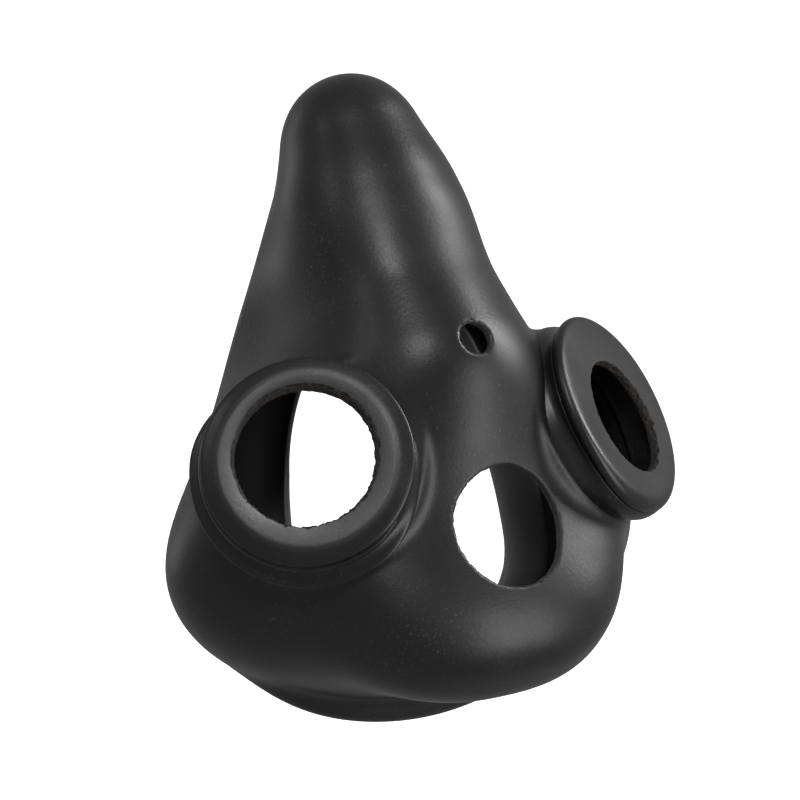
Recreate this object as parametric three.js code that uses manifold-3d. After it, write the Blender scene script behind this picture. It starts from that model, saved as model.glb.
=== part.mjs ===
// Half-mask facepiece of moulded black rubber, all lengths in millimetres.
// Mask frame: X across the face, -Y forward, +Z towards the nose, side ports level.
// The whole part is then leaned back about X, and its origin is the middle of the face opening.
import * as THREE from 'three';
import { mergeVertices } from 'three/addons/utils/BufferGeometryUtils.js';
import Module from 'manifold-3d';

const wasm = await Module();
wasm.setup();

// ---- driving dimensions ----
const WALL = 2.0;              // rubber wall
const BOND_GAP = 0.3;          // glue line between neighbouring pieces
const LEAN_BACK = 36;          // degrees between the level ports and the stored pose

const NOSE = {
  tip: { at: [0, 7.3, 81.0], radius: 17.2 },
  bridge: { at: [0, 10.6, 60.2], radius: 20.4 },
  base: { at: [0, 12.3, 18.0], radius: 28.8 },
  blend: 14,
};
const MUZZLE = { centre: [0, 24.8, -17.4], radii: [40.3, 21.5, 42.5], power: 2.5, tilt: -15.2, blend: 25 };
const JAW = { centre: [0, 43.8, -10.7], radii: [63.4, 38.8, 37.5] };
const CHEEK = { centre: [0, 47.5, 25.7], radii: [40.0, 35.4, 53.8], blend: 27 };
const FACE_BLEND = 17.3;       // nose and muzzle into jaw and cheeks
const HEEL = { centre: [0, 58.0, -26.0], radii: [46.0, 9.0, 26.4], blend: 4 };

const RIM_DEPTH = 49.6;        // Y of the rim plane at port height
const RIM_SLOPE = -0.365;      // the rim plane comes forward towards the nose

const PORT = { across: 44.2, turn: 30.5, ringRadius: 24.8, baseRadius: 27.2, boreRadius: 21.5 };
const RING_DEPTH = 3.3;        // front ring, face to parting line
const FACE_DEPTH = 2.6;        // front ring's wall at its hand-cut hole
const SHELL_PORT_RADIUS = 20;  // opening in the shell under each port

const FRONT_HOLE = { at: [1.3, -2.7, -25.3], radius: 14.4, tilt: -18.4 };
const NOSE_HOLE = { at: [0, -15.9, 17.3], radius: 3.9, tilt: -12 };
const LEFT_CUT = { radius: 16.5, across: 0, up: 0.5 };
const RIGHT_CUT = { radius: 14.7, across: 0.9, up: -2.3 };

const SEAL = {
  halfWidth: 32, reachUp: 50, reachDown: 39, widest: -12,   // the opening that the seal leaves
  curlDepth: 17, curlOut: 5, fullWidth: 20,        // free edge curls forward and a little outwards
  rimThickness: 1.9, edgeThickness: 1.2,
};

const SEAL_STEPS = { around: 56, across: 10 };
const ROUND_STEPS = 44;
const SKIN_STEPS = { around: 64, along: 40 };
const CAST_FROM = [0, 25, 12];  // a point inside the mask that sees all of its skin
const CAST_STRETCH = [1, 1, 1.9]; // finer facets at the nose tip and under the chin
const CAST_REACH = 130;

// ---- the mask's outer form: nose and muzzle blended into jaw and cheeks, with a heel under the chin ----
// A tilted ellipsoid; a power above 2 squares its sides off.
function ellipsoidDistance(p, { centre, radii, power = 2, tilt = 0 }) {
  const lean = THREE.MathUtils.degToRad(tilt);
  const [x, y, z] = p.map((value, i) => value - centre[i]);
  const turned = [x, y * Math.cos(lean) + z * Math.sin(lean), z * Math.cos(lean) - y * Math.sin(lean)];
  const unit = turned.map((value, i) => Math.abs(value) / radii[i] + 1e-9);
  const scaled = unit.reduce((sum, q) => sum + q ** power, 0) ** (1 / power);
  const slope = unit.map((q, i) => q ** (power - 1) * scaled ** (1 - power) / radii[i]);
  return (scaled - 1) / Math.hypot(...slope);
}

function roundConeDistance(p, from, to) {
  const a = new THREE.Vector3(...from.at);
  const along = new THREE.Vector3(...to.at).sub(a);
  const offset = new THREE.Vector3(...p).sub(a);
  const length2 = along.lengthSq();
  const taper = from.radius - to.radius;
  const side2 = length2 - taper * taper;
  const y = offset.dot(along);
  const z = y - length2;
  const x2 = offset.clone().multiplyScalar(length2).addScaledVector(along, -y).lengthSq();
  const limit = Math.sign(taper) * taper * taper * x2;
  if (Math.sign(z) * side2 * z * z * length2 > limit) {
    return Math.sqrt(x2 + z * z * length2) / length2 - to.radius;
  }
  if (Math.sign(y) * side2 * y * y * length2 < limit) {
    return Math.sqrt(x2 + y * y * length2) / length2 - from.radius;
  }
  return (Math.sqrt(x2 * side2 / length2) + y * taper) / length2 - from.radius;
}

function blend(a, b, width) {
  const h = THREE.MathUtils.clamp(0.5 + 0.5 * (b - a) / width, 0, 1);
  return THREE.MathUtils.lerp(b, a, h) - width * h * (1 - h);
}

function skinDistance(p) {
  const nose = blend(
    roundConeDistance(p, NOSE.tip, NOSE.bridge),
    roundConeDistance(p, NOSE.bridge, NOSE.base),
    NOSE.blend,
  );
  const front = blend(nose, ellipsoidDistance(p, MUZZLE), MUZZLE.blend);
  const back = blend(ellipsoidDistance(p, JAW), ellipsoidDistance(p, CHEEK), CHEEK.blend);
  return blend(blend(front, back, FACE_BLEND), ellipsoidDistance(p, HEEL), HEEL.blend);
}

// Distance along a ray at which the skin, moved outwards by `offset`, is crossed.
function castToSkin(origin, direction, offset) {
  let inside = 0;
  let outside = CAST_REACH;
  for (let step = 0; step < 22; step += 1) {
    const reach = (inside + outside) / 2;
    const p = origin.map((o, i) => o + direction[i] * reach);
    if (skinDistance(p) < offset) inside = reach;
    else outside = reach;
  }
  return inside;
}

// ---- solids ----
function toSolid(geometry) {
  const bare = geometry.clone();
  bare.deleteAttribute('normal');
  bare.deleteAttribute('uv');
  const welded = mergeVertices(bare, 1e-4);
  return new wasm.Manifold(new wasm.Mesh({
    numProp: 3,
    vertProperties: new Float32Array(welded.attributes.position.array),
    triVerts: new Uint32Array(welded.index.array),
  }));
}

function toGeometry(solid) {
  const mesh = solid.getMesh();
  const geometry = new THREE.BufferGeometry();
  geometry.setAttribute('position', new THREE.BufferAttribute(new Float32Array(mesh.vertProperties), 3));
  geometry.setIndex(new THREE.BufferAttribute(new Uint32Array(mesh.triVerts), 1));
  geometry.computeVertexNormals();
  return geometry;
}

// A closed skin around the mask: a sphere whose points are pushed out to the form.
function skinSolid(offset) {
  const geometry = new THREE.SphereGeometry(1, SKIN_STEPS.around, SKIN_STEPS.along);
  geometry.rotateX(Math.PI / 2);
  geometry.scale(...CAST_STRETCH);
  const points = geometry.attributes.position;
  for (let i = 0; i < points.count; i += 1) {
    const direction = new THREE.Vector3().fromBufferAttribute(points, i).normalize().toArray();
    const reach = castToSkin(CAST_FROM, direction, offset);
    points.setXYZ(i, ...CAST_FROM.map((o, k) => o + direction[k] * reach));
  }
  return toSolid(geometry);
}

// Everything on the wearer's side of the rim plane.
function behindRim() {
  const size = 300;
  const block = new THREE.BoxGeometry(size, size, size);
  block.translate(0, size / 2, 0);
  block.rotateX(-Math.atan(RIM_SLOPE));
  block.translate(0, RIM_DEPTH, 0);
  return toSolid(block);
}

function plug(radius, length, place) {
  const cylinder = new THREE.CylinderGeometry(radius, radius, length, ROUND_STEPS);
  cylinder.applyMatrix4(place);
  return toSolid(cylinder);
}

// A cylinder's own axis is Y; this turns it to `axis` and moves it to `at`.
function placeAlong(axis, at) {
  const turn = new THREE.Quaternion().setFromUnitVectors(new THREE.Vector3(0, 1, 0), axis);
  return new THREE.Matrix4().compose(at, turn, new THREE.Vector3(1, 1, 1));
}

function frontAxis(tilt) {
  const angle = THREE.MathUtils.degToRad(tilt);
  return new THREE.Vector3(0, -Math.cos(angle), Math.sin(angle));
}

// ---- side ports: side is -1 for the port at -X and +1 for the one at +X ----
function portAxis(side) {
  const turn = THREE.MathUtils.degToRad(PORT.turn);
  return new THREE.Vector3(side * Math.sin(turn), -Math.cos(turn), 0);
}

function portCentre(side) {
  return new THREE.Vector3(side * PORT.across, 0, 0);
}

function turnedRing(profile, side) {
  const points = profile.map(([radius, outward]) => new THREE.Vector2(radius, outward));
  points.push(points[0].clone());
  const ring = new THREE.LatheGeometry(points, ROUND_STEPS);
  ring.applyMatrix4(placeAlong(portAxis(side), portCentre(side)));
  return toSolid(ring);
}

function portRing(side, cut) {
  const face = plug(PORT.ringRadius, FACE_DEPTH,
    placeAlong(portAxis(side), portCentre(side).addScaledVector(portAxis(side), -FACE_DEPTH / 2)));
  const rim = turnedRing([
    [PORT.boreRadius, -RING_DEPTH],
    [PORT.ringRadius - 0.4, -RING_DEPTH],
    [PORT.ringRadius, -RING_DEPTH + 0.4],
    [PORT.ringRadius, -1.2],
    [PORT.ringRadius - 0.4, -0.4],
    [PORT.ringRadius - 1.4, 0],
    [PORT.boreRadius, 0],
  ], side);
  const bevel = turnedRing([
    [PORT.ringRadius - 1.4, 0],
    [PORT.ringRadius - 0.4, -0.4],
    [PORT.ringRadius, -1.2],
    [PORT.ringRadius + 3, -1.2],
    [PORT.ringRadius + 3, 1],
    [PORT.ringRadius - 1.4, 1],
  ], side);
  const sideways = new THREE.Vector3(0, 0, 1).cross(portAxis(side)).multiplyScalar(side * cut.across);
  const middle = portCentre(side).add(sideways).add(new THREE.Vector3(0, 0, cut.up));
  const hole = plug(cut.radius, 20, placeAlong(portAxis(side), middle));
  return rim.add(face.subtract(bevel)).subtract(hole);
}

function portBase(side, skin) {
  const top = -RING_DEPTH - BOND_GAP;
  const body = turnedRing([
    [PORT.boreRadius, top - 30],
    [PORT.baseRadius - 1.0, top - 30],
    [PORT.baseRadius - 1.2, top - 7.0],
    [PORT.baseRadius, top - 6.2],
    [PORT.baseRadius, top - 5.2],
    [PORT.baseRadius - 2.0, top - 4.0],
    [PORT.baseRadius - 2.4, top - 2.6],
    [PORT.baseRadius - 1.7, top - 1.0],
    [PORT.baseRadius - 2.3, top],
    [PORT.boreRadius, top],
  ], side);
  return body.subtract(skin);
}

// ---- face seal: a rolled lip that turns inwards from the rim to its free edge ----
const RIM_UP = new THREE.Vector3(0, RIM_SLOPE, 1).normalize();
const RIM_BACK = new THREE.Vector3(0, 1, -RIM_SLOPE).normalize();

function rimPoint(radius, angle, back) {
  return new THREE.Vector3(0, RIM_DEPTH, 0)
    .add(new THREE.Vector3(radius * Math.sin(angle), 0, 0))
    .addScaledVector(RIM_UP, radius * Math.cos(angle))
    .addScaledVector(RIM_BACK, back);
}

// From the rim's middle to half an ellipse round the seal's widest height.
function eggRadius(angle, reach) {
  const x = Math.sin(angle) / SEAL.halfWidth;
  const z = Math.cos(angle) / reach;
  const offset = SEAL.widest / reach;
  const square = x * x + z * z;
  const inside = z * z * offset * offset - square * (offset * offset - 1);
  return (z * offset + Math.sqrt(Math.max(inside, 0))) / square;
}

function freeEdgeRadius(angle) {
  const above = eggRadius(angle, SEAL.reachUp - SEAL.widest);
  return above * Math.cos(angle) > SEAL.widest ? above : eggRadius(angle, SEAL.reachDown + SEAL.widest);
}

function outerEdgeRadius(angle) {
  const origin = [0, RIM_DEPTH, 0];
  const outwards = rimPoint(1, angle, 0).sub(new THREE.Vector3(...origin)).toArray();
  return castToSkin(origin, outwards, -WALL / 2);
}

function bezier(t, a, b, c, d) {
  return a * (1 - t) ** 3 + 3 * b * t * (1 - t) ** 2 + 3 * c * t * t * (1 - t) + d * t ** 3;
}

function bezierSlope(t, a, b, c, d) {
  return 3 * ((b - a) * (1 - t) ** 2 + 2 * (c - b) * t * (1 - t) + (d - c) * t * t);
}

function sealSolid() {
  const { around, across } = SEAL_STEPS;
  const loop = [];
  for (let j = 0; j <= across; j += 1) loop.push([j / across, 1]);
  for (let j = across; j >= 0; j -= 1) loop.push([j / across, -1]);
  loop.push(loop[0]);
  const stand = loop.map(([t, face]) => new THREE.Vector2(10 - t, face));
  const ring = new THREE.LatheGeometry(stand, around);
  const points = ring.attributes.position;
  const outer = [];
  for (let i = 0; i <= around; i += 1) outer.push(outerEdgeRadius((i % around) / around * 2 * Math.PI));
  for (let i = 0; i <= around; i += 1) {
    const angle = (i % around) / around * 2 * Math.PI;
    const free = freeEdgeRadius(angle);
    const width = outer[i] - free;
    const curl = Math.min(1, width / SEAL.fullWidth);
    const inward = [0.3, 0.9 * width, 1.25 * width, width - SEAL.curlOut * curl];
    const back = [BOND_GAP + SEAL.rimThickness / 2, 1.8 * curl, -3.4 * curl, -SEAL.curlDepth * curl];
    loop.forEach(([t, face], j) => {
      const half = face * THREE.MathUtils.lerp(SEAL.rimThickness, SEAL.edgeThickness, t) / 2;
      const across = new THREE.Vector2(bezierSlope(t, ...back), -bezierSlope(t, ...inward)).normalize();
      const radius = outer[i] - bezier(t, ...inward) + across.x * half;
      const point = rimPoint(radius, angle, bezier(t, ...back) - across.y * half);
      points.setXYZ(i * loop.length + j, point.x, point.y, point.z);
    });
  }
  return toSolid(ring);
}

// ---- assembly ----
const outerSkin = skinSolid(0);
const bondSkin = skinSolid(BOND_GAP);
const innerSkin = skinSolid(-WALL);

function shellSolid() {
  let shell = outerSkin.subtract(innerSkin).subtract(behindRim());
  for (const hole of [FRONT_HOLE, NOSE_HOLE]) {
    const place = placeAlong(frontAxis(hole.tilt), new THREE.Vector3(...hole.at));
    shell = shell.subtract(plug(hole.radius, 24, place));
  }
  for (const side of [-1, 1]) {
    const behind = portCentre(side).addScaledVector(portAxis(side), -20);
    shell = shell.subtract(plug(SHELL_PORT_RADIUS, 50, placeAlong(portAxis(side), behind)));
  }
  return shell;
}

const rubber = {
  shell: { color: 0x2b2b2d, roughness: 0.48, metalness: 0 },
  port: { color: 0x303032, roughness: 0.42, metalness: 0 },
  seal: { color: 0x333336, roughness: 0.5, metalness: 0 },
};

function piece(name, solid, finish) {
  const mesh = new THREE.Mesh(toGeometry(solid), new THREE.MeshStandardMaterial(finish));
  mesh.name = name;
  return mesh;
}

const mask = new THREE.Group();
mask.add(piece('face_shell', shellSolid(), rubber.shell));
mask.add(piece('face_seal', sealSolid(), rubber.seal));
mask.add(piece('left_port_ring', portRing(-1, LEFT_CUT), rubber.port));
mask.add(piece('right_port_ring', portRing(1, RIGHT_CUT), rubber.port));
mask.add(piece('left_port_base', portBase(-1, bondSkin), rubber.port));
mask.add(piece('right_port_base', portBase(1, bondSkin), rubber.port));
mask.position.set(0, -RIM_DEPTH, 0);

const part = new THREE.Group();
part.add(mask);
part.rotation.x = -THREE.MathUtils.degToRad(LEAN_BACK);

export default part;
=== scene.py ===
"""Black rubber half-mask facepiece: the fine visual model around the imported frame.

Shapes are worked out in the mask's own frame, in millimetres: X across, -Y forward, +Z towards the
nose, side ports level. `MASK_TO_ROW` then leans them back, as the CAD does, and scales them to metres.
"""

import math

import bpy
import numpy as np
from mathutils import Matrix, Vector


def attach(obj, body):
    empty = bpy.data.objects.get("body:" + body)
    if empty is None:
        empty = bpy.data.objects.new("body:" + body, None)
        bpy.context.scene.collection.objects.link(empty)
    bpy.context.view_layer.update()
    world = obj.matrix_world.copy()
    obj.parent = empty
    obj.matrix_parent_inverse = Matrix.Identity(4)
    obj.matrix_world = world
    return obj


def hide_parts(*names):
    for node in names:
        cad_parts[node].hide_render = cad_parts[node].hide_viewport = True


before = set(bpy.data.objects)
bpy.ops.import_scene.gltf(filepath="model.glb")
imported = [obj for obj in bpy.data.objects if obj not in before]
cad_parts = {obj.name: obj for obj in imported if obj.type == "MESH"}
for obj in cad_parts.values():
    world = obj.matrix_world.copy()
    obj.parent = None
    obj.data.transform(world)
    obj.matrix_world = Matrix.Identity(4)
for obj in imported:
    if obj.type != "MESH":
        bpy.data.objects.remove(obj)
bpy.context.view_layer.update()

# ---- driving dimensions, millimetres and degrees ----
# The body, the seal, the two front holes and the right port's cut have the CAD's sizes.
# The necks, the ports' profiles, the ragged edges and the left port's cut are shaped only here.
WALL = 2.0
LEAN_BACK = 36.0

NOSE_TIP, NOSE_TIP_RADIUS = (0, 7.3, 81.0), 17.2
NOSE_BRIDGE, NOSE_BRIDGE_RADIUS = (0, 10.6, 60.2), 20.4
NOSE_BASE, NOSE_BASE_RADIUS = (0, 12.3, 18.0), 28.8
NOSE_BLEND = 14.0
MUZZLE_CENTRE, MUZZLE_RADII = (0, 24.8, -17.4), (40.3, 21.5, 42.5)
MUZZLE_TILT, MUZZLE_POWER, MUZZLE_BLEND = -15.2, 2.5, 25.0
JAW_CENTRE, JAW_RADII = (0, 43.8, -10.7), (63.4, 38.8, 37.5)
CHEEK_CENTRE, CHEEK_RADII = (0, 47.5, 25.7), (40.0, 35.4, 53.8)
HEEL_CENTRE, HEEL_RADII, HEEL_BLEND = (0, 58.0, -26.0), (46.0, 9.0, 26.4), 4.0
CHEEK_BLEND, FACE_BLEND = 27.0, 17.3

RIM_DEPTH = 49.6
RIM_SLOPE = -0.365

PORT_ACROSS, PORT_TURN = 44.2, 30.5
PORT_OPENING, PORT_OPENING_DEPTH = 21.7, 45.0
NECK_RADIUS, NECK_DEPTH, NECK_BLEND, NECK_FLARE = 25.4, 9.5, 2.4, 0.035

HOLE_REACH = 15.0
FRONT_HOLE = dict(
    at=(1.3, -2.7, -25.3), tilt=-18.4, radius=14.4,
    phases=(0.4, 2.0, 1.1, 0.3), depth=0.13,
)
NOSE_HOLE = dict(
    at=(0, -15.9, 17.3), tilt=-12.0, radius=3.9,
    phases=(1.4, 0.2, 2.1, 1.3), depth=0.04,
)
PORT_RAGGED = 0.07
CUTS = {   # each port's cut hole: its centre off the ring's, and how much it narrows inwards
    -1: dict(radius=16.8, across=0.1, up=1.0, taper=1.3),
    1: dict(radius=14.7, across=0.9, up=-2.3, taper=0.0),
}

SEAL_HALF_WIDTH, SEAL_UP, SEAL_DOWN, SEAL_WIDEST = 32.0, 50.0, 39.0, -12.0   # its free edge
SEAL_CURL_DEPTH, SEAL_CURL_OUT, SEAL_FULL_WIDTH = 17.0, 5.0, 20.0
SEAL_INSET = 1.0
SEAL_RIM_THICKNESS, SEAL_EDGE_THICKNESS = 1.9, 1.2

MASK_TO_ROW = (
    Matrix.Scale(0.001, 4)
    @ Matrix.Rotation(-math.radians(LEAN_BACK), 4, "X")
    @ Matrix.Translation((0, -RIM_DEPTH, 0))
)


# ---- distance fields: arrays of points in, signed distances out, negative inside ----
def ellipsoid(p, centre, radii, power=2.0, tilt=0.0):
    """A tilted ellipsoid; a power above 2 squares its sides off."""
    q = p - np.array(centre, float)
    lean = math.radians(tilt)
    y = q[:, 1] * math.cos(lean) + q[:, 2] * math.sin(lean)
    z = q[:, 2] * math.cos(lean) - q[:, 1] * math.sin(lean)
    radii = np.array(radii, float)
    q = np.abs(np.stack([q[:, 0], y, z], 1)) / radii + 1e-9
    scaled = (q ** power).sum(1) ** (1 / power)
    slope = q ** (power - 1) * scaled[:, None] ** (1 - power) / radii
    return (scaled - 1) / np.sqrt((slope * slope).sum(1))


def round_cone(p, start, end, start_radius, end_radius):
    """A cone with a ball at each end."""
    start, end = np.array(start, float), np.array(end, float)
    along = end - start
    length2 = along @ along
    taper = start_radius - end_radius
    side2 = length2 - taper * taper
    offset = p - start
    y = offset @ along
    z = y - length2
    x2 = ((offset * length2 - y[:, None] * along) ** 2).sum(1)
    limit = np.sign(taper) * taper * taper * x2
    body = (np.sqrt(x2 * side2 / length2) + y * taper) / length2 - start_radius
    near = np.sqrt(x2 + y * y * length2) / length2 - start_radius
    far = np.sqrt(x2 + z * z * length2) / length2 - end_radius
    result = np.where(np.sign(y) * side2 * y * y * length2 < limit, near, body)
    return np.where(np.sign(z) * side2 * z * z * length2 > limit, far, result)


def blend(a, b, width):
    """Both solids, joined by a fillet of about this width."""
    h = np.clip(0.5 + 0.5 * (b - a) / width, 0, 1)
    return b + (a - b) * h - width * h * (1 - h)


def carve(a, b, width):
    """The part of a outside b, with its edge rounded."""
    return -blend(-a, b, width)


def port_frame(side):
    """Centre of a port's front face, the way it faces, and the level way across it."""
    turn = math.radians(PORT_TURN)
    centre = np.array([side * PORT_ACROSS, 0, 0])
    axis = np.array([side * math.sin(turn), -math.cos(turn), 0])
    across = np.array([math.cos(turn), side * math.sin(turn), 0])
    return centre, axis, across


def port_coordinates(p, side):
    """Distance from the port's axis, and depth behind its front face."""
    centre, axis, _ = port_frame(side)
    offset = p - centre
    out = offset @ axis
    radial = np.sqrt(np.maximum((offset * offset).sum(1) - out * out, 0))
    return radial, -out


def neck(p, side):
    """The stub that carries a port, and the width of its fillet to the body."""
    radial, depth = port_coordinates(p, side)
    towards_nose = np.clip(0.5 - side * (p[:, 0] - side * PORT_ACROSS) / 40, 0, 1)
    flare = 0.5 + NECK_FLARE * towards_nose * np.clip(depth - NECK_DEPTH, 0, 9) ** 2
    return carve(radial - NECK_RADIUS - flare, depth - NECK_DEPTH, 1.6), 1.5 + NECK_BLEND * towards_nose


def skin(p):
    """The outer surface of the shell, before any hole."""
    tip = round_cone(p, NOSE_TIP, NOSE_BRIDGE, NOSE_TIP_RADIUS, NOSE_BRIDGE_RADIUS)
    bridge = round_cone(p, NOSE_BRIDGE, NOSE_BASE, NOSE_BRIDGE_RADIUS, NOSE_BASE_RADIUS)
    muzzle = ellipsoid(p, MUZZLE_CENTRE, MUZZLE_RADII, MUZZLE_POWER, MUZZLE_TILT)
    jaw = ellipsoid(p, JAW_CENTRE, JAW_RADII)
    cheek = ellipsoid(p, CHEEK_CENTRE, CHEEK_RADII)
    front = blend(blend(tip, bridge, NOSE_BLEND), muzzle, MUZZLE_BLEND)
    body = blend(front, blend(jaw, cheek, CHEEK_BLEND), FACE_BLEND)
    body = blend(body, ellipsoid(p, HEEL_CENTRE, HEEL_RADII), HEEL_BLEND)
    for side in (-1, 1):
        body = blend(body, *neck(p, side))
    return body


def ragged(angle, phases, depth):
    """A hand-cut edge: a slow wander and small nicks."""
    wander = np.sin(5 * angle + phases[0]) * 0.5 + np.sin(9 * angle + phases[1]) * 0.35
    nicks = np.abs(np.sin(11.5 * angle + phases[2])) + 0.6 * np.abs(np.sin(20.5 * angle + phases[3]))
    return depth * (wander + nicks - 0.9)


def front_hole(p, at, tilt, radius, phases, depth):
    """A plug the shape of a hand-cut hole; depth is how ragged its edge is."""
    lean = math.radians(tilt)
    axis = np.array([0, -math.cos(lean), math.sin(lean)])
    up = np.array([0, math.sin(lean), math.cos(lean)])
    offset = p - np.array(at, float)
    out = offset @ axis
    x, z = offset[:, 0], offset @ up
    edge = radius + ragged(np.arctan2(z, x), phases, depth)
    return np.maximum(np.hypot(x, z) - edge, np.abs(out) - HOLE_REACH)


def rim_plane(p):
    """Height over the plane that the shell's back rim lies in."""
    return (p[:, 1] - RIM_DEPTH - RIM_SLOPE * p[:, 2]) / math.hypot(1, RIM_SLOPE)


def shell_field(p):
    outer = skin(p)
    shell = np.abs(outer + WALL / 2) - WALL / 2
    shell = carve(shell, -rim_plane(p), 0.8)
    shell = carve(shell, front_hole(p, **FRONT_HOLE), 0.3)
    shell = carve(shell, front_hole(p, **NOSE_HOLE), 0.3)
    for side in (-1, 1):
        radial, depth = port_coordinates(p, side)
        shell = carve(shell, np.maximum(radial - PORT_OPENING, depth - PORT_OPENING_DEPTH), 0.6)
    return shell


# ---- turning a field into a mesh ----
CUBE = np.array([(x, y, z) for x in (0, 1) for y in (0, 1) for z in (0, 1)])


def sample(field, low, shape, step):
    """Field values on a grid: everywhere on a coarse one, and finely only near the surface."""
    coarse = 4
    cells = [int(math.ceil((n - 1) / coarse)) + 1 for n in shape]
    grid = np.stack(np.meshgrid(*[np.arange(n) for n in cells], indexing="ij"), -1).reshape(-1, 3)
    rough = field(low + grid * step * coarse).reshape(cells)
    index = [np.minimum((np.arange(n) + coarse // 2) // coarse, c - 1) for n, c in zip(shape, cells)]
    values = rough[np.ix_(*index)].astype(np.float32)
    near = np.argwhere(np.abs(values) < step * coarse * 1.25)
    for part in np.array_split(near, max(1, len(near) // 400000)):
        values[part[:, 0], part[:, 1], part[:, 2]] = field(low + part * step)
    return values


def surface_net(values, low, step):
    """Quads through the cells that the surface crosses, one point in each."""
    inside = values < 0
    core = tuple(n - 1 for n in values.shape)
    corners = [inside[x:x + core[0], y:y + core[1], z:z + core[2]] for x, y, z in CUBE]
    count = sum(c.astype(np.int8) for c in corners)
    cells = np.argwhere((count > 0) & (count < 8))
    ids = np.full(core, -1, np.int64)
    ids[tuple(cells.T)] = np.arange(len(cells))
    total = np.zeros((len(cells), 3))
    hits = np.zeros(len(cells))
    for a in range(8):
        for axis in range(3):
            if CUBE[a][axis]:
                continue
            start = cells + CUBE[a]
            end = start.copy()
            end[:, axis] += 1
            u, v = values[tuple(start.T)], values[tuple(end.T)]
            cut = (u < 0) != (v < 0)
            t = np.where(cut, u / np.where(cut, u - v, 1), 0)
            point = start.astype(float)
            point[:, axis] += t
            total[cut] += point[cut]
            hits[cut] += 1
    points = low + step * total / hits[:, None]
    faces = []
    for axis in range(3):
        b, c = (axis + 1) % 3, (axis + 2) % 3
        first = [slice(0, n) for n in values.shape]
        second = list(first)
        first[axis] = slice(0, values.shape[axis] - 1)
        second[axis] = slice(1, values.shape[axis])
        first, second = inside[tuple(first)], inside[tuple(second)]
        edges = np.argwhere(first != second)
        edges = edges[(edges[:, b] > 0) & (edges[:, c] > 0)]
        edges = edges[(edges[:, b] < core[b]) & (edges[:, c] < core[c])]
        leaving = first[tuple(edges.T)]
        quad = []
        for db, dc in ((1, 1), (0, 1), (0, 0), (1, 0)):
            cell = edges.copy()
            cell[:, b] -= db
            cell[:, c] -= dc
            quad.append(ids[tuple(cell.T)])
        quad = np.stack(quad, 1)
        quad[~leaving] = quad[~leaving][:, ::-1]
        faces.append(quad)
    return points, np.concatenate(faces)


def gradient(field, points, reach=0.05):
    columns = []
    for axis in range(3):
        shift = np.zeros(3)
        shift[axis] = reach
        columns.append((field(points + shift) - field(points - shift)) / (2 * reach))
    return np.stack(columns, 1)


def relax(points, faces, amount):
    """Moves each point towards the middle of its neighbours."""
    total = np.zeros_like(points)
    degree = np.zeros(len(points))
    for k in range(4):
        a, b = faces[:, k], faces[:, (k + 1) % 4]
        for axis in range(3):
            total[:, axis] += np.bincount(a, points[b, axis], len(points))
            total[:, axis] += np.bincount(b, points[a, axis], len(points))
        degree += np.bincount(a, minlength=len(points)) + np.bincount(b, minlength=len(points))
    return points + amount * (total / degree[:, None] - points)


def settle(field, points, step):
    """Moves points onto the surface."""
    value = field(points)
    slope = gradient(field, points)
    size = (slope * slope).sum(1) + 1e-6
    move = -(value / size)[:, None] * slope
    length = np.linalg.norm(move, axis=1) + 1e-9
    return points + move * np.minimum(1, 0.5 * step / length)[:, None]


def field_mesh(field, low, high, step):
    low = np.array(low, float)
    shape = tuple(int(n) for n in np.ceil((np.array(high) - low) / step) + 1)
    points, faces = surface_net(sample(field, low, shape, step), low, step)
    for _ in range(2):
        points = settle(field, relax(points, faces, 0.6), step)
    points = settle(field, points, step)
    return points, faces


def make_object(name, points, faces, cut=None):
    """A smooth piece of quads; the faces marked as cut take its second material."""
    mesh = bpy.data.meshes.new(name)
    mesh.from_pydata((), (), ())
    mesh.vertices.add(len(points))
    mesh.vertices.foreach_set("co", points.astype(np.float32).ravel())
    mesh.loops.add(faces.size)
    mesh.loops.foreach_set("vertex_index", faces.astype(np.int32).ravel())
    mesh.polygons.add(len(faces))
    mesh.polygons.foreach_set("loop_start", np.arange(0, faces.size, 4, dtype=np.int32))
    mesh.polygons.foreach_set("loop_total", np.full(len(faces), 4, dtype=np.int32))
    mesh.update(calc_edges=True)
    mesh.validate()
    mesh.transform(MASK_TO_ROW)
    mesh.shade_smooth()
    if cut is not None:
        mesh.polygons.foreach_set("material_index", cut.astype(np.int32))
    piece = bpy.data.objects.new(name, mesh)
    bpy.context.scene.collection.objects.link(piece)
    return piece


# ---- port rings: turned profiles round a port's axis, with a hand-cut hole ----
def rounded(profile, passes=2):
    """Cuts the corners of an open profile, so that its edges are soft."""
    points = np.array(profile, float)
    for _ in range(passes):
        a, b = points[:-1], points[1:]
        cut = np.stack([a * 0.75 + b * 0.25, a * 0.25 + b * 0.75], 1).reshape(-1, 2)
        points = np.concatenate([points[:1], cut, points[-1:]])
    return points


def grid_faces(around, across):
    """Quads of a grid that closes on itself both ways."""
    i, j = np.meshgrid(np.arange(around), np.arange(across), indexing="ij")
    i, j = i.ravel(), j.ravel()
    u, v = (i + 1) % around, (j + 1) % across
    return np.stack([i * across + j, u * across + j, u * across + v, i * across + v], 1)


def turned(profiles, side):
    """profiles: (angle step, profile point, [radius, depth])"""
    around, across = profiles.shape[:2]
    centre, axis, sideways = port_frame(side)
    angle = np.arange(around) / around * 2 * math.pi
    spoke = np.cos(angle)[:, None] * sideways + np.sin(angle)[:, None] * np.array([0, 0, 1.0])
    points = centre + profiles[..., :1] * spoke[:, None] - profiles[..., 1:] * axis
    faces = grid_faces(around, across)
    return points.reshape(-1, 3), faces if side > 0 else faces[:, ::-1]


RING_STEPS, BASE_STEPS = 480, 360
WALL_ROWS = 7
RING_INSIDE = 20.6      # where the turned edge meets the flat face
FACE_DEPTH = 2.6
LEFT_DISH = 0.2         # how far the left face sinks towards its hole
CHIP = 0.16


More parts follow.
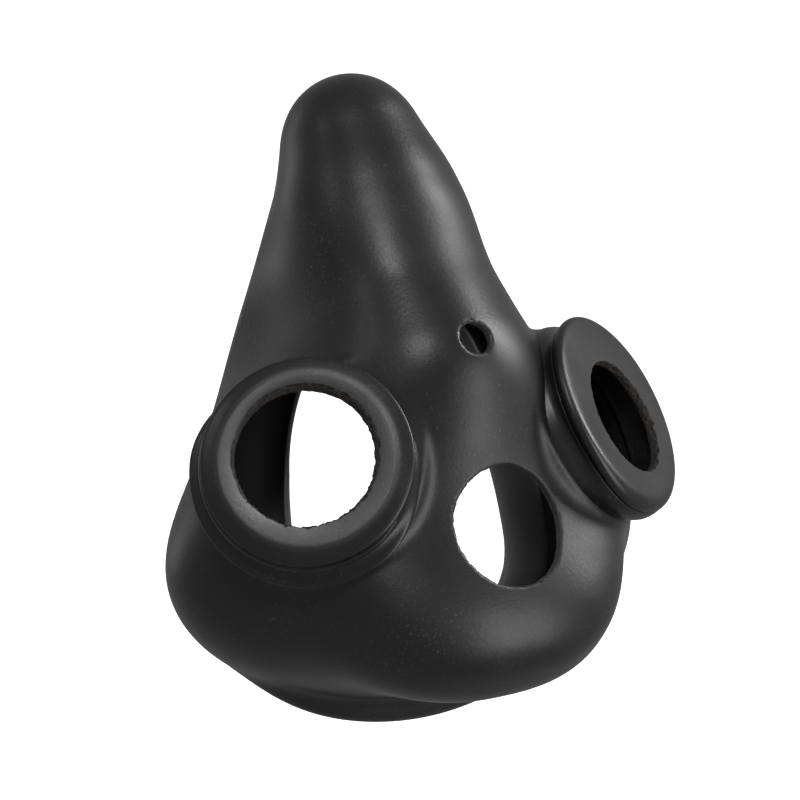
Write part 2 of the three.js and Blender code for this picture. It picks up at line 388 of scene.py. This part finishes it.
def hole_radius(angle, side, cut):
    """Radius of the cut hole's edge, seen from the ring's own centre, and how much it tapers inwards."""
    along = cut["across"] * np.cos(angle) + cut["up"] * np.sin(angle)
    square = cut["across"] ** 2 + cut["up"] ** 2
    edge = cut["radius"] + ragged(angle, (0.3 + side, 1.7, 0.9 * side, 2.2), PORT_RAGGED)
    taper = cut["taper"] * (0.5 + 0.5 * np.cos(angle - math.radians(20)))
    return along + np.sqrt(edge * edge - square + along * along), taper


def ring_of(radius, depth):
    """One point of a profile, all round a port."""
    return np.stack([radius, np.full(RING_STEPS, depth)], 1)


def port_ring(side):
    left = [
        (20.6, 0.0), (21.8, 0.12), (23.0, 0.45), (24.1, 0.8), (24.8, 1.2), (24.8, 1.6), (24.85, 2.8),
        (24.8, 3.15), (23.8, 3.3), (22.4, 3.35), (21.6, 3.3), (21.0, 3.1), (20.6, 2.7),
    ]
    right_inner = [
        (20.6, 0.0), (22.3, 0.03), (23.6, 0.2), (24.4, 0.6), (24.85, 1.2), (24.95, 1.9), (24.75, 2.6),
        (24.4, 3.1), (23.9, 3.3), (22.4, 3.35), (21.6, 3.3), (21.0, 3.1), (20.6, 2.7),
    ]
    right_outer = [
        (20.6, 0.0), (22.3, 0.03), (23.8, 0.15), (25.0, 0.55), (25.9, 1.2), (26.4, 1.9), (26.65, 2.6),
        (26.75, 3.1), (26.5, 3.3), (22.4, 3.35), (21.6, 3.3), (21.0, 3.1), (20.6, 2.7),
    ]
    angle = np.arange(RING_STEPS) / RING_STEPS * 2 * math.pi
    hole, taper = hole_radius(angle, side, CUTS[side])
    dish = LEFT_DISH if side < 0 else 0.0
    stand = stands_out(angle, side)[:, None]
    inner = rounded(left if side < 0 else right_inner)
    outer = rounded(left if side < 0 else right_outer)
    rim = [near * (1 - stand) + far * stand for near, far in zip(inner, outer)]
    bottom = hole - taper
    back = [ring_of(bottom + (RING_INSIDE - bottom) * t, FACE_DEPTH) for t in (0.75, 0.5, 0.25, 0.08)]
    front = [
        ring_of(hole + (RING_INSIDE - hole) * t, dish * (1 - t) ** 2) for t in (0.05, 0.16, 0.35, 0.6, 0.85)
    ]
    rng = np.random.default_rng(7 + side)
    wall = []
    for k in range(WALL_ROWS):
        t = k / (WALL_ROWS - 1)
        chips = smooth_noise(rng, RING_STEPS, 3) * CHIP * math.sin(math.pi * (0.1 + 0.8 * t))
        soft = 0.15 * (1 - math.sin(math.pi * t)) ** 2
        wall.append(ring_of(hole - taper * (1 - t) + chips + soft, FACE_DEPTH - (FACE_DEPTH - dish) * t))
    profiles = np.stack(rim + back + wall + front, 1)
    points, faces = turned(profiles, side)
    first = len(rim) + len(back)
    row = np.arange(len(faces)) % profiles.shape[1]
    cut = (row >= first - 1) & (row < first + WALL_ROWS)
    return make_object("left_port_ring_fine" if side < 0 else "right_port_ring_fine", points, faces, cut)


def smooth_noise(rng, count, width):
    """Random numbers, smoothed round a closed ring."""
    noise = rng.normal(size=count)
    kernel = np.hanning(2 * width + 1)
    padded = np.concatenate([noise[-width:], noise, noise[:width]])
    return np.convolve(padded, kernel / np.sqrt((kernel ** 2).sum()), "valid")[:count]


def stands_out(angle, side):
    """1 on the outer and lower part of a port, where its collar stands over the body, 0 towards the nose."""
    outward = side * np.cos(angle) * 0.75 - np.sin(angle) * 0.65
    t = np.clip(outward / 0.9 + 0.5, 0, 1)
    return t * t * (3 - 2 * t)


def port_base(side):
    inner = [(25.0, 10.6), (24.4, 12.0), (21.6, 12.0), (21.5, 4.0), (21.9, 3.6)]
    soft = [   # on the side towards the nose, at both ports
        (23.0, 3.4), (24.2, 3.4), (24.15, 3.9), (23.95, 4.6), (23.95, 5.4), (24.2, 6.2), (24.7, 7.0),
        (25.2, 7.8), (25.5, 8.5), (25.7, 9.1), (25.75, 9.5), (25.8, 9.7), (25.6, 9.8),
    ]
    collar = [   # on the outer side of the left port
        (23.0, 3.45), (24.9, 3.55), (25.4, 3.8), (25.6, 4.6), (25.1, 5.4), (24.5, 6.2), (24.8, 7.2),
        (26.0, 8.0), (27.8, 8.5), (28.3, 8.9), (28.3, 9.4), (27.8, 9.75), (26.0, 9.9),
    ]
    barrel = [   # on the outer side of the right port
        (23.0, 3.4), (26.6, 3.4), (26.9, 3.7), (27.1, 4.7), (27.2, 5.6), (27.15, 6.6), (26.9, 7.4),
        (26.6, 8.2), (26.4, 8.8), (26.2, 9.2), (26.1, 9.5), (25.9, 9.7), (25.6, 9.8),
    ]
    angle = np.arange(BASE_STEPS) / BASE_STEPS * 2 * math.pi
    stand = stands_out(angle, side)[:, None, None]
    outward = collar if side < 0 else barrel
    profiles = rounded(soft + inner) * (1 - stand) + rounded(outward + inner) * stand
    points, faces = turned(profiles, side)
    return make_object("left_port_base_fine" if side < 0 else "right_port_base_fine", points, faces)


# ---- face seal: a thin lip rolled in from the rim to its free edge ----
RIM_UP = np.array([0, RIM_SLOPE, 1]) / math.hypot(1, RIM_SLOPE)
RIM_BACK = np.array([0, 1, -RIM_SLOPE]) / math.hypot(1, RIM_SLOPE)
SEAL_AROUND, SEAL_ACROSS = 320, 40


def rim_radius(angle):
    """How far the skin is from the rim's middle each way round, found by halving."""
    low, high = np.zeros_like(angle), np.full_like(angle, 110.0)
    spoke = np.sin(angle)[:, None] * np.array([1.0, 0, 0]) + np.cos(angle)[:, None] * RIM_UP
    for _ in range(24):
        middle = (low + high) / 2
        inside = skin(np.array([0, RIM_DEPTH, 0]) + spoke * middle[:, None]) < 0
        low, high = np.where(inside, middle, low), np.where(inside, high, middle)
    return low, spoke


def bezier(t, a, b, c, d):
    return a * (1 - t) ** 3 + 3 * b * t * (1 - t) ** 2 + 3 * c * t * t * (1 - t) + d * t ** 3


def bezier_slope(t, a, b, c, d):
    return 3 * ((b - a) * (1 - t) ** 2 + 2 * (c - b) * t * (1 - t) + (d - c) * t * t)


def egg_radius(angle, reach):
    """From the rim's middle to half an ellipse round the seal's widest height."""
    x, z = np.sin(angle) / SEAL_HALF_WIDTH, np.cos(angle) / reach
    offset = SEAL_WIDEST / reach
    square = x * x + z * z
    root = np.sqrt(np.maximum(z * z * offset * offset - square * (offset * offset - 1), 0))
    return (z * offset + root) / square


def face_seal():
    """The lip's middle line is a curve from the rim to the free edge, and its faces lie either side."""
    angle = np.arange(SEAL_AROUND) / SEAL_AROUND * 2 * math.pi
    rim, spoke = rim_radius(angle)
    above = egg_radius(angle, SEAL_UP - SEAL_WIDEST)
    below = egg_radius(angle, SEAL_DOWN + SEAL_WIDEST)
    free = np.where(above * np.cos(angle) > SEAL_WIDEST, above, below)
    width = (rim - SEAL_INSET - free)[:, None]
    curl = np.minimum(1, width / SEAL_FULL_WIDTH)
    t = np.linspace(0, 1, SEAL_ACROSS)[None]
    guide_in = (0.3, 0.9 * width, 1.25 * width, width - SEAL_CURL_OUT * curl)
    guide_back = (1.1, 1.8 * curl, -3.4 * curl, -SEAL_CURL_DEPTH * curl)
    inward, back = bezier(t, *guide_in), bezier(t, *guide_back)
    slope_in, slope_back = bezier_slope(t, *guide_in), bezier_slope(t, *guide_back)
    size = np.hypot(slope_in, slope_back)
    thickness = SEAL_RIM_THICKNESS + (SEAL_EDGE_THICKNESS - SEAL_RIM_THICKNESS) * t
    round_edge = np.minimum(1, np.sqrt(np.clip((1.0001 - t) / 0.03, 0, 1)) * 0.7 + 0.3)
    half = 0.5 * thickness * round_edge
    out_in, out_back = -slope_back / size * half, slope_in / size * half
    rows_in = np.concatenate([inward + out_in, (inward - out_in)[:, ::-1]], 1)
    rows_back = np.concatenate([back + out_back, (back - out_back)[:, ::-1]], 1)
    radius = rim[:, None] - SEAL_INSET - rows_in
    points = np.array([0, RIM_DEPTH, 0]) + radius[..., None] * spoke[:, None]
    points = points + rows_back[..., None] * RIM_BACK
    faces = grid_faces(SEAL_AROUND, 2 * SEAL_ACROSS)
    return make_object("face_seal_lip", points.reshape(-1, 3), faces[:, ::-1])


# ---- materials ----
def add_noise(tree, place, scale, detail):
    noise = tree.nodes.new("ShaderNodeTexNoise")
    noise.inputs["Scale"].default_value = scale
    noise.inputs["Detail"].default_value = detail
    tree.links.new(place.outputs["Object"], noise.inputs["Vector"])
    return noise


def rubber(name, colour, roughness, grain=1.0, dust=1.0):
    """Black rubber with cloudy gloss, specks of dust that gather in patches, and fine pores."""
    material = bpy.data.materials.new(name)
    material.use_nodes = True
    tree = material.node_tree
    nodes, links = tree.nodes, tree.links
    nodes.clear()
    out = nodes.new("ShaderNodeOutputMaterial")
    shader = nodes.new("ShaderNodeBsdfPrincipled")
    shader.inputs["Specular IOR Level"].default_value = 0.38
    links.new(shader.outputs["BSDF"], out.inputs["Surface"])
    place = nodes.new("ShaderNodeTexCoord")
    cloud = add_noise(tree, place, scale=45, detail=6)
    fine = add_noise(tree, place, scale=1500, detail=2)
    pores = add_noise(tree, place, scale=1100, detail=4)

    tint = nodes.new("ShaderNodeValToRGB")
    tint.color_ramp.elements[0].color = (*[c * 0.8 for c in colour], 1)
    tint.color_ramp.elements[1].color = (*[c * 1.2 for c in colour], 1)
    links.new(cloud.outputs["Fac"], tint.inputs["Fac"])

    patches = nodes.new("ShaderNodeMath")
    patches.operation = "MULTIPLY_ADD"
    patches.inputs[1].default_value = 0.35
    links.new(cloud.outputs["Fac"], patches.inputs[0])
    links.new(fine.outputs["Fac"], patches.inputs[2])
    settled = nodes.new("ShaderNodeMapRange")
    settled.inputs["From Min"].default_value = 0.80
    settled.inputs["From Max"].default_value = 0.98
    settled.inputs["To Max"].default_value = 0.5 * dust
    links.new(patches.outputs["Value"], settled.inputs["Value"])
    dusty = nodes.new("ShaderNodeMix")
    dusty.data_type = "RGBA"
    dusty.inputs["B"].default_value = (0.075, 0.068, 0.060, 1)
    links.new(settled.outputs["Result"], dusty.inputs["Factor"])
    links.new(tint.outputs["Color"], dusty.inputs["A"])
    links.new(dusty.outputs["Result"], shader.inputs["Base Color"])

    gloss = nodes.new("ShaderNodeMapRange")
    gloss.inputs["From Min"].default_value = 0.3
    gloss.inputs["From Max"].default_value = 0.7
    gloss.inputs["To Min"].default_value = roughness - 0.06
    gloss.inputs["To Max"].default_value = roughness + 0.10
    links.new(cloud.outputs["Fac"], gloss.inputs["Value"])
    links.new(gloss.outputs["Result"], shader.inputs["Roughness"])

    bump = nodes.new("ShaderNodeBump")
    bump.inputs["Strength"].default_value = 0.5
    bump.inputs["Distance"].default_value = 0.00008 * grain
    links.new(pores.outputs["Fac"], bump.inputs["Height"])
    links.new(bump.outputs["Normal"], shader.inputs["Normal"])
    return material


def hole_walls(points, faces):
    """Marks the cut walls of the two holes through the front, and not the shell behind them."""
    middle = points[faces].mean(axis=1)
    from_wall = [np.abs(front_hole(middle, **hole)) for hole in (FRONT_HOLE, NOSE_HOLE)]
    return (np.minimum(*from_wall) < 0.3) & (middle[:, 1] < 20)


def finish_piece(piece, material, slot, *nodes):
    piece.data.materials.append(material)
    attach(piece, "root")
    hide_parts(*nodes)


# ---- camera, floor and light ----
VIEW_TURN, VIEW_RISE, VIEW_ROLL = -31.9, -16.2, -18.8   # seen in the mask's own frame
VIEW_DISTANCE = 700.0
VIEW_OFFSET = (-16.2, 7.6)                              # how far it stands right of and over the mask
VIEW_LENS = 133.2
LIGHT_DISTANCE = 1.3
ROOM_HALF, ROOM_FLOOR, ROOM_CEILING = 8.0, -0.45, 8.0   # metres, as the lights are


def add_camera():
    turn, rise, roll = (math.radians(v) for v in (VIEW_TURN, VIEW_RISE, VIEW_ROLL))
    level = math.cos(rise)
    towards = Vector((math.sin(turn) * level, -math.cos(turn) * level, math.sin(rise)))
    right = Vector((math.cos(turn), math.sin(turn), 0))
    up = towards.cross(right)
    cos, sin = math.cos(roll), math.sin(roll)
    right, up = right * cos + up * sin, up * cos - right * sin
    place = towards * VIEW_DISTANCE + right * VIEW_OFFSET[0] + up * VIEW_OFFSET[1]
    turned_to = Matrix((right, up, towards)).transposed().to_4x4()
    data = bpy.data.cameras.new("camera")
    data.sensor_width = 36
    data.lens = VIEW_LENS
    data.clip_end = 50
    camera = bpy.data.objects.new("camera", data)
    bpy.context.scene.collection.objects.link(camera)
    spin = Matrix.Rotation(-math.radians(LEAN_BACK), 4, "X")
    camera.matrix_world = Matrix.Translation(MASK_TO_ROW @ place) @ spin @ turned_to
    bpy.context.scene.camera = camera


def place_light(name, turn, rise, size, power):
    """A softbox `turn` degrees right of the camera and `rise` degrees over it, seen from the mask."""
    camera = bpy.context.scene.camera.matrix_world.to_3x3()
    turn, rise = math.radians(turn), math.radians(rise)
    level = math.cos(rise)
    way = camera @ Vector((math.sin(turn) * level, math.sin(rise), math.cos(turn) * level))
    data = bpy.data.lights.new(name, "AREA")
    data.shape = "RECTANGLE"
    data.size, data.size_y = size
    data.energy = power
    light = bpy.data.objects.new(name, data)
    light.location = way * LIGHT_DISTANCE
    light.rotation_euler = (-way).to_track_quat("-Z", "Y").to_euler()
    bpy.context.scene.collection.objects.link(light)


def add_floor():
    """A white floor with walls and a ceiling. It casts no light, shade or reflection on the mask."""
    square = [(x * ROOM_HALF, y * ROOM_HALF) for x, y in ((-1, -1), (1, -1), (1, 1), (-1, 1))]
    corners = [(x, y, z) for z in (ROOM_FLOOR, ROOM_CEILING) for x, y in square]
    sides = [(0, 1, 2, 3), (4, 7, 6, 5), (0, 4, 5, 1), (1, 5, 6, 2), (2, 6, 7, 3), (3, 7, 4, 0)]
    mesh = bpy.data.meshes.new("floor")
    mesh.from_pydata(corners, [], sides)
    floor = bpy.data.objects.new("floor", mesh)
    bpy.context.scene.collection.objects.link(floor)
    material = bpy.data.materials.new("floor_paper")
    material.use_nodes = True
    shader = material.node_tree.nodes["Principled BSDF"]
    shader.inputs["Base Color"].default_value = (0.9, 0.9, 0.9, 1)
    shader.inputs["Roughness"].default_value = 1.0
    shader.inputs["Specular IOR Level"].default_value = 0.0
    shader.inputs["Emission Color"].default_value = (1, 1, 1, 1)
    shader.inputs["Emission Strength"].default_value = 1.0
    mesh.materials.append(material)
    floor.visible_glossy = False
    floor.visible_diffuse = False
    floor.visible_shadow = False


def add_world():
    world = bpy.data.worlds.new("studio")
    world.use_nodes = True
    background = world.node_tree.nodes["Background"]
    background.inputs["Color"].default_value = (1, 1, 1, 1)
    background.inputs["Strength"].default_value = 0.36
    bpy.context.scene.world = world


bpy.context.scene.view_settings.view_transform = "Standard"
add_camera()
add_floor()
add_world()
place_light("key_box", turn=-4, rise=38, size=(0.2, 0.34), power=5.5)
place_light("left_box", turn=-54, rise=36, size=(0.16, 0.16), power=0.8)
place_light("side_box", turn=95, rise=34, size=(0.28, 0.8), power=14)
place_light("low_box", turn=56, rise=-8, size=(0.45, 1.0), power=9)
place_light("rim_box", turn=-118, rise=16, size=(0.4, 0.9), power=1.5)

# ---- the pieces ----
STEP = 0.65
SHELL_LOW, SHELL_HIGH = (-68, -26, -64), (68, 72, 102)
RUBBER_BLACK = (0.0062, 0.0058, 0.0060)

shell_points, shell_faces = field_mesh(shell_field, SHELL_LOW, SHELL_HIGH, STEP)
shell = make_object("shell_skin", shell_points, shell_faces, hole_walls(shell_points, shell_faces))
cut_rubber = rubber("cut_rubber_fine", (0.030, 0.026, 0.023), 0.62, grain=4.0, dust=0.6)
finish_piece(shell, rubber("shell_rubber_fine", RUBBER_BLACK, 0.38), "shell_rubber", "face_shell")
shell.data.materials.append(cut_rubber)
# The seal's rubber is much lighter than the shell's black. That is painted light, standing in for light
# scattered onto the lip inside the mask.
seal_rubber = rubber("lip_rubber_painted_light_fine", (0.10, 0.098, 0.097), 0.5)
finish_piece(face_seal(), seal_rubber, "seal_rubber", "face_seal")
port_rubber = rubber("port_rubber_fine", RUBBER_BLACK, 0.34, grain=0.5)
for side, label in ((-1, "left"), (1, "right")):
    ring = port_ring(side)
    finish_piece(ring, port_rubber, "port_rubber", f"{label}_port_ring")
    ring.data.materials.append(cut_rubber)
    finish_piece(port_base(side), port_rubber, "port_rubber", f"{label}_port_base")
